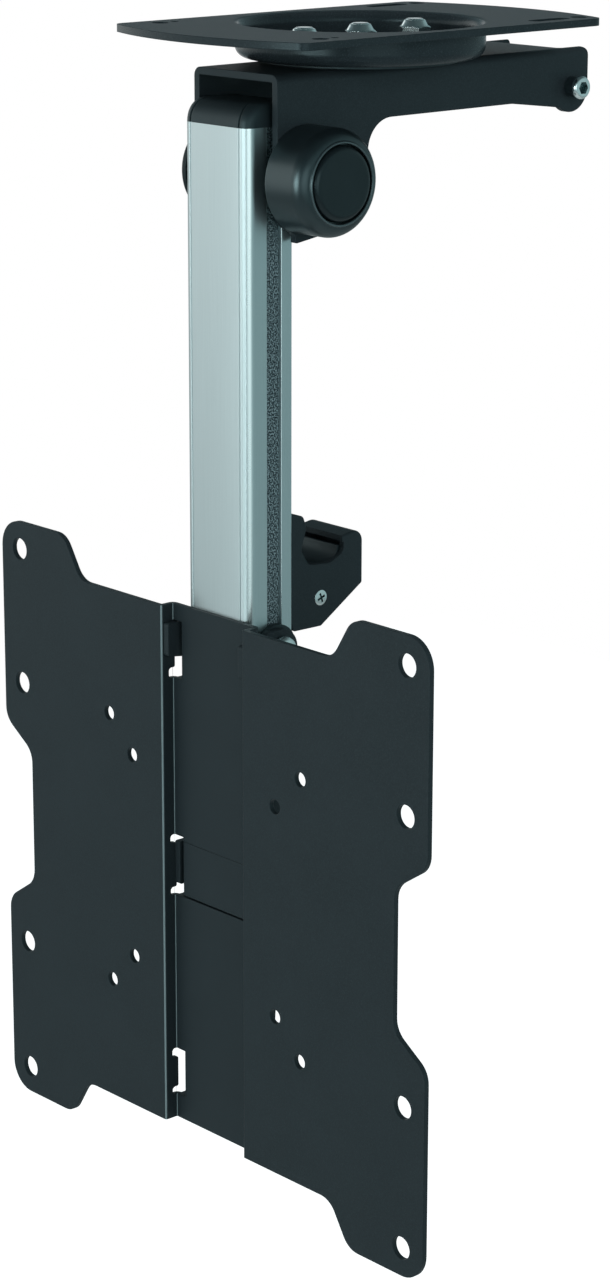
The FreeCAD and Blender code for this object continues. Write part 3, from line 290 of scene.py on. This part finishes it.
def rounded(corners, steps=8, margin=0.25):
    """Outline with each corner (x, y, radius) turned into an arc."""
    points = []
    count = len(corners)
    for i, (x, y, radius) in enumerate(corners):
        here = Vector((x, y))
        if not radius:
            points.append(here)
            continue
        back = (Vector(corners[i - 1][:2]) - here).normalized()
        on = (Vector(corners[(i + 1) % count][:2]) - here).normalized()
        half = back.angle(on) / 2
        run = radius / math.tan(half)
        centre = here + (back + on).normalized() * radius / math.sin(half)
        start = here + back * run - centre
        sweep = start.angle_signed(here + on * run - centre)
        if radius > 0.6:
            points.append(here + back * (run + margin))
        for step in range(steps + 1):
            points.append(centre + Matrix.Rotation(-sweep * step / steps, 2) @ start)
        if radius > 0.6:
            points.append(here + on * (run + margin))
    return points


def stack(name, layers):
    """Closed solid through outlines of equal length, each a list of points in metres."""
    mesh = bpy.data.meshes.new(name)
    count = len(layers[0])
    points = [point for layer in layers for point in layer]
    faces = [list(range(count))[::-1], [len(points) - count + k for k in range(count)]]
    for row in range(len(layers) - 1):
        for k in range(count):
            low = row * count
            on = (k + 1) % count
            faces.append([low + k, low + on, low + count + on, low + count + k])
    mesh.from_pydata(points, [], faces)
    form = bmesh.new()
    form.from_mesh(mesh)
    bmesh.ops.recalc_face_normals(form, faces=form.faces)
    form.to_mesh(mesh)
    form.free()
    piece = bpy.data.objects.new(name, mesh)
    bpy.context.scene.collection.objects.link(piece)
    return piece


def upright(name, outline, low, high):
    """Solid standing on an outline in x and y, in metres."""
    return stack(name, [[(x / 1000, y / 1000, z) for x, y in outline] for z in (low, high)])


def block(name, low, high):
    corners = [(low[0], low[1]), (high[0], low[1]), (high[0], high[1]), (low[0], high[1])]
    return stack(name, [[(x, y, z) for x, y in corners] for z in (low[2], high[2])])


def barrel(name, axis_y, axis_z, profile, steps=48):
    """Round solid on an axis along x, from (x, radius) stations in metres."""
    layers = []
    for x, radius in profile:
        turns = [2 * math.pi * k / steps for k in range(steps)]
        layers.append([(x, axis_y + radius * math.cos(t), axis_z + radius * math.sin(t)) for t in turns])
    return stack(name, layers)


def carve(piece, cutters):
    for cutter in cutters:
        change = piece.modifiers.new(cutter.name, "BOOLEAN")
        change.object = cutter
        change.operation = "DIFFERENCE"
        change.solver = "EXACT"
    bpy.context.view_layer.update()
    seen = piece.evaluated_get(bpy.context.evaluated_depsgraph_get())
    carved = bpy.data.meshes.new_from_object(seen)
    piece.modifiers.clear()
    piece.data = carved
    for cutter in cutters:
        bpy.data.objects.remove(cutter)


def dress(piece, body, slot, finish, *nodes):
    piece.data.shade_smooth()
    piece.data.set_sharp_from_angle(angle=math.radians(16))
    piece.data.materials.clear()
    piece.data.materials.append(finish)
    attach(piece, body)
    if nodes:
        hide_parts(*nodes)


CORNER_R = 3.8
CORNER_FROM = 12
CORNER_STEPS = 12
REAR_R = 1.4
LINE_X = 12.05
STRIP_FROM_FRONT = 8.7
STRIP_WIDTH = 6.3
STRIP_DEEP = 2.6
WALL = 1.9
HOLLOW_HALF = 11.9
HINGE_WINDOW = -0.0576
LINE_SHOULDER = [(0.5, 0.0), (0.2, 0.07), (0.07, 0.45)]


def front_line(x, y):
    """Fine groove with broad shoulders in the front face, from right to left."""
    down = [(x + reach, y + deep, 0) for reach, deep in LINE_SHOULDER]
    up = [(x - reach, y + deep, 0) for reach, deep in reversed(LINE_SHOULDER)]
    return down + up


def arm_outline(half, front, rear, grooves, line):
    groove_front = front + STRIP_FROM_FRONT
    groove_rear = groove_front + STRIP_WIDTH
    side = []
    for step in range(CORNER_STEPS + 1):
        turn = math.radians(CORNER_FROM + (90 - CORNER_FROM) * step / CORNER_STEPS)
        side.append((half - CORNER_R * (1 - math.sin(turn)), front + CORNER_R * (1 - math.cos(turn)), 0))
    if grooves:
        side += [(half, groove_front, 0.25), (half - STRIP_DEEP, groove_front, 0)]
        side += [(half - STRIP_DEEP, groove_rear, 0), (half, groove_rear, 0.25)]
    side.append((half, rear, REAR_R))
    other = [(-x, y, r) for x, y, r in reversed(side)]
    return side + other + line(-LINE_X, front)[::-1] + line(LINE_X, front)[::-1]


def make_arm():
    low, high = [Vector(v) * 1000 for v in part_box("arm_profile")]
    tilt_low, tilt_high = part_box("tilt_bolt")
    outline = rounded(arm_outline(high.x, low.y, high.y, True, front_line))
    arm = upright("arm_extrusion", outline, low.z / 1000, high.z / 1000)
    inner = [(HOLLOW_HALF, low.y + WALL, 1.5), (HOLLOW_HALF, high.y - WALL, 1.0)]
    inner += [(-HOLLOW_HALF, high.y - WALL, 1.0), (-HOLLOW_HALF, low.y + WALL, 1.5)]
    hollow = upright("hollow", rounded(inner), low.z / 1000 - 0.001, high.z / 1000 + 0.001)
    window_y = (low.y + STRIP_FROM_FRONT + STRIP_WIDTH) / 1000
    window_end = (0.017, high.y / 1000 + 0.001, high.z / 1000 + 0.001)
    window = block("window", (-0.017, window_y, HINGE_WINDOW), window_end)
    notch_y = (tilt_low[1] + tilt_high[1]) / 2
    notch_z = (tilt_low[2] + tilt_high[2]) / 2
    notch = barrel("notch", notch_y, notch_z, [(-0.02, 0.0032), (0.02, 0.0032)])
    carve(arm, [hollow, window, notch])
    dress(arm, "arm", "aluminium", FINISH["aluminium"], "arm_profile")


CAP_NOSE = 6.6
CAP_SIDE = 2.2
CAP_LAYERS = 10
CAP_LINE = [(0.42, 0.0), (0.3, 0.5), (0.0, 0.7)]


def cap_line(x, y):
    down = [(x + reach, y + deep, 0) for reach, deep in CAP_LINE]
    up = [(x - reach, y + deep, 0) for reach, deep in reversed(CAP_LINE[:-1])]
    return down + up


def make_cap():
    """Pillow-shaped cap: each layer is drawn in from the front and the sides as it rises."""
    low, high = [Vector(v) * 1000 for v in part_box("arm_profile")]
    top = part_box("arm_cap")[1][2] * 1000
    outline = rounded(arm_outline(high.x, low.y, high.y, False, cap_line))
    layers = []
    for step in range(CAP_LAYERS + 1):
        turn = math.radians(90) * step / CAP_LAYERS
        rise = (top - high.z) * math.sin(turn)
        drawn = 1 - math.cos(turn)
        shrink = 1 - CAP_SIDE * drawn ** 1.5 / high.x
        layer = []
        for x, y in outline:
            share = (high.y - y) / (high.y - low.y)
            layer.append((x * shrink / 1000, (y + CAP_NOSE * drawn * share) / 1000, (high.z + rise) / 1000))
        layers.append(layer)
    dress(stack("pillow_cap", layers), "arm", "black_plastic", FINISH["black_plastic"], "arm_cap")


def make_latch_screw():
    """Cross-recess screw with a low domed head."""
    low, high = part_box("latch_pivot")
    axis_y = (low[1] + high[1]) / 2
    axis_z = (low[2] + high[2]) / 2
    head = (high[1] - low[1]) / 2
    seat = high[0] - 0.0003
    profile = [(low[0], 0.0018), (low[0] + 0.0003, 0.002)]
    profile += [(seat - 0.0002, 0.002), (seat - 0.0002, head - 0.0002), (seat, head)]
    profile += [(seat + 0.00012, head * 0.96), (seat + 0.00022, head * 0.8), (high[0], head * 0.5)]
    screw = barrel("latch_screw", axis_y, axis_z, profile)
    arms = []
    for angle in (20, 110):
        near, far = (high[0] - 0.0009, -0.0017, -0.00038), (high[0] + 0.001, 0.0017, 0.00038)
        arm = block("slot_%d" % angle, near, far)
        arm.data.transform(Matrix.Rotation(math.radians(angle), 4, "X"))
        arm.data.transform(Matrix.Translation((0, axis_y, axis_z)))
        arms.append(arm)
    carve(screw, arms)
    dress(screw, "arm", "zinc", FINISH["zinc"], "latch_pivot")


BEAD_INNER = 0.01302
BEAD_STEPS = 96
BEAD_PROFILE = [(-0.0006, 0.01375), (0.0, 0.01375), (0.0002, 0.01365)]
BEAD_PROFILE += [(0.0003, 0.01345), (0.00022, 0.0132), (0.0, 0.0130)]


def make_cover_bead():
    """Polished bead round the disc in the hinge cover."""
    low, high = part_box("hinge_cover")
    axis_y = (low[1] + high[1]) / 2
    axis_z = (low[2] + high[2]) / 2
    face = high[0]
    bead = barrel("cover_bead", axis_y, axis_z, [(face + x, r) for x, r in BEAD_PROFILE], BEAD_STEPS)
    bore = [(face - 0.002, BEAD_INNER), (face + 0.001, BEAD_INNER)]
    carve(bead, [barrel("bead_bore", axis_y, axis_z, bore, BEAD_STEPS)])
    dress(bead, "bracket", "cover_plastic", SPECIAL["cover_bead"])


LAMP_COLOUR = (0.95, 1.0, 1.0)


def lamp(name, place, aim, side, watts):
    """Soft square lamp that leaves no spot of its own in glossy surfaces."""
    data = bpy.data.lights.new(name, "AREA")
    data.shape = "RECTANGLE"
    data.size = data.size_y = side
    data.energy = watts
    data.color = LAMP_COLOUR
    light = bpy.data.objects.new(name, data)
    light.location = place
    light.rotation_euler = (Vector(aim) - Vector(place)).to_track_quat("-Z", "Y").to_euler()
    light.visible_camera = False
    light.visible_glossy = False
    bpy.context.scene.collection.objects.link(light)


BACKDROP = Vector((-0.72, 0.64, -0.15)).normalized()
SOFTBOX = Vector((-0.82, -0.57, 0.0)).normalized()
STRIP_BOX = Vector((0.06, -1.0, 0.0)).normalized()
NEAR_BOX = Vector((0.86, -0.51, 0.0)).normalized()

# Where each panel begins and is full, as the cosine of the angle from its middle
SOFTBOX_EDGES = (0.50, 0.72)
STRIP_EDGES = (0.950, 0.980)
NEAR_EDGES = (0.90, 0.955)
BEAM_COLOUR = (0.88, 1.0, 1.0, 1)
ROOM_RIGHT = (0.29, 0.42, 0.43)
ROOM_MID = (0.16, 0.25, 0.27)
ROOM_LEFT = (0.18, 0.25, 0.27)
SOFTBOX_LIGHT = (1.0, 1.05, 1.04)
OVERHEAD_SHARE = 0.25
STRIP_LIGHT = 5.6
NEAR_LIGHT = 1.0
SOFTBOX_FOOT = -0.42
SOFTBOX_BODY = -0.02
SOFTBOX_TOP = 0.42


def panel(tree, toward, height, centre, edges):
    """Share of a standing softbox seen along a direction."""
    across = soft_step(tree, dot(tree, toward, centre), *edges)
    below = soft_step(tree, height, SOFTBOX_FOOT, SOFTBOX_BODY)
    above = soft_step(tree, height, SOFTBOX_TOP, SOFTBOX_TOP - 0.08)
    return times(tree, across, times(tree, below, above))


def make_world():
    """White backdrop for the camera; for the object a dim room with three standing softboxes."""
    world = bpy.data.worlds.new("studio")
    bpy.context.scene.world = world
    world.use_nodes = True
    tree = world.node_tree
    tree.nodes.clear()
    out = tree.nodes.new("ShaderNodeOutputWorld")
    path = tree.nodes.new("ShaderNodeLightPath").outputs
    toward = add(tree, "ShaderNodeTexCoord").outputs["Generated"]
    height = dot(tree, toward, (0, 0, 1))
    side = dot(tree, toward, SOFTBOX)
    walls = [(0.0, ROOM_RIGHT), (0.5, ROOM_MID), (1.0, ROOM_LEFT)]
    tint = ramp(tree, levels(tree, side, -1, 1, 0, 1), walls)
    tint = mixed(tree, panel(tree, toward, height, SOFTBOX, SOFTBOX_EDGES), tint, SOFTBOX_LIGHT)
    overhead = levels(tree, height, 0.35, 0.7, 1.0, OVERHEAD_SHARE)
    room = add(tree, "ShaderNodeBackground", {"Color": tint, "Strength": overhead})
    narrow = times(tree, panel(tree, toward, height, STRIP_BOX, STRIP_EDGES), STRIP_LIGHT)
    near = times(tree, panel(tree, toward, height, NEAR_BOX, NEAR_EDGES), NEAR_LIGHT)
    strength = arithmetic(tree, "ADD", narrow, near)
    beam = add(tree, "ShaderNodeBackground", {"Color": BEAM_COLOUR, "Strength": strength})
    lit = add(tree, "ShaderNodeAddShader")
    tree.links.new(room.outputs[0], lit.inputs[0])
    tree.links.new(beam.outputs[0], lit.inputs[1])
    white = add(tree, "ShaderNodeBackground", {"Color": (1, 1, 1, 1), "Strength": 1.0})
    behind = levels(tree, dot(tree, toward, BACKDROP), 0.93, 1.0, 0.0, 1.0)
    mirror = arithmetic(tree, "MAXIMUM", path["Is Glossy Ray"], path["Is Transmission Ray"])
    seen = arithmetic(tree, "MAXIMUM", path["Is Camera Ray"], times(tree, mirror, behind))
    mix = tree.nodes.new("ShaderNodeMixShader")
    tree.links.new(seen, mix.inputs[0])
    tree.links.new(lit.outputs[0], mix.inputs[1])
    tree.links.new(white.outputs[0], mix.inputs[2])
    tree.links.new(mix.outputs[0], out.inputs["Surface"])


FLOOR_Z = -1.45
FLOOR_HALF = 3.2
FLOOR_SHOWN = 0.9


def make_floor():
    mesh = bpy.data.meshes.new("floor")
    corners = [(x * FLOOR_HALF, y * FLOOR_HALF, FLOOR_Z) for x, y in ((-1, -1), (1, -1), (1, 1), (-1, 1))]
    mesh.from_pydata(corners, [], [(0, 1, 2, 3)])
    floor = bpy.data.objects.new("floor", mesh)
    bpy.context.scene.collection.objects.link(floor)
    mat, tree, bsdf = shader("floor_paint")
    set_shader(tree, bsdf, colour=(0.86, 0.87, 0.87), rough=0.9, specular=0.1)
    path = add(tree, "ShaderNodeLightPath").outputs
    shown = times(tree, path["Is Camera Ray"], FLOOR_SHOWN)
    glow = add(tree, "ShaderNodeEmission", {"Color": (1, 1, 1, 1), "Strength": shown})
    both = add(tree, "ShaderNodeAddShader")
    tree.links.new(bsdf.outputs[0], both.inputs[0])
    tree.links.new(glow.outputs[0], both.inputs[1])
    tree.links.new(both.outputs[0], tree.nodes["Material Output"].inputs["Surface"])
    mesh.materials.append(mat)


PAINT = (0.0175, 0.0235, 0.0272)
COVER = (0.006, 0.009, 0.0105)
FINISH = {
    "powder_coat": powder_coat("black_powder_coat", PAINT),
    "aluminium": extruded_aluminium("satin_aluminium"),
    "black_plastic": moulded_plastic("moulded_black_plastic", (0.010, 0.015, 0.0175), rough=0.42),
    "cover_plastic": moulded_plastic("cover_plastic", COVER, rough=0.29, grain=0.3, ior=1.72),
    "zinc": zinc_plate("zinc_plate"),
    "cast_metal": powder_coat("cast_dark_metal", (0.02, 0.025, 0.027), 2.0, 0.5),
}
SPECIAL = {
    "ceiling_plate": powder_coat("drawn_powder_coat", PAINT, drawn=0.2),
    "side_strips": leather_grain_strip("grained_strip"),
    # The screen plate's paint has a painted highlight on its bends
    "screen_plate": powder_coat("powder_coat_painted_bend_highlight", PAINT, bend=0.55),
    "hinge_low_cap": moulded_plastic("low_cap_plastic", COVER, rough=0.42, ior=1.35),
    "cover_bead": moulded_plastic("polished_bead", (0.040, 0.055, 0.060), rough=0.22, grain=0.3, ior=1.8),
    "hinge_cover_disc": moulded_plastic("satin_disc", COVER, rough=0.24, grain=0.3, ior=1.45),
}

for entry in frame["record"]["subparts"]:
    node = frame["nodes"][entry["node"]]
    finish = SPECIAL.get(entry["node"]) or FINISH[entry["material_slot"]]
    node.data.materials.clear()
    node.data.materials.append(finish)

make_arm()
make_cap()
make_latch_screw()
make_cover_bead()

bpy.context.scene.view_settings.view_transform = "Standard"
make_camera()
make_world()
make_floor()
lamp("key", (-0.6, -2.3, 0.9), (0, -0.1, -0.2), 1.6, 9)
lamp("side", (2.0, -0.2, 0.5), (0, 0, -0.2), 1.2, 15)
lamp("top", (-0.2, 0.3, 1.8), (0, 0, 0), 1.6, 16)
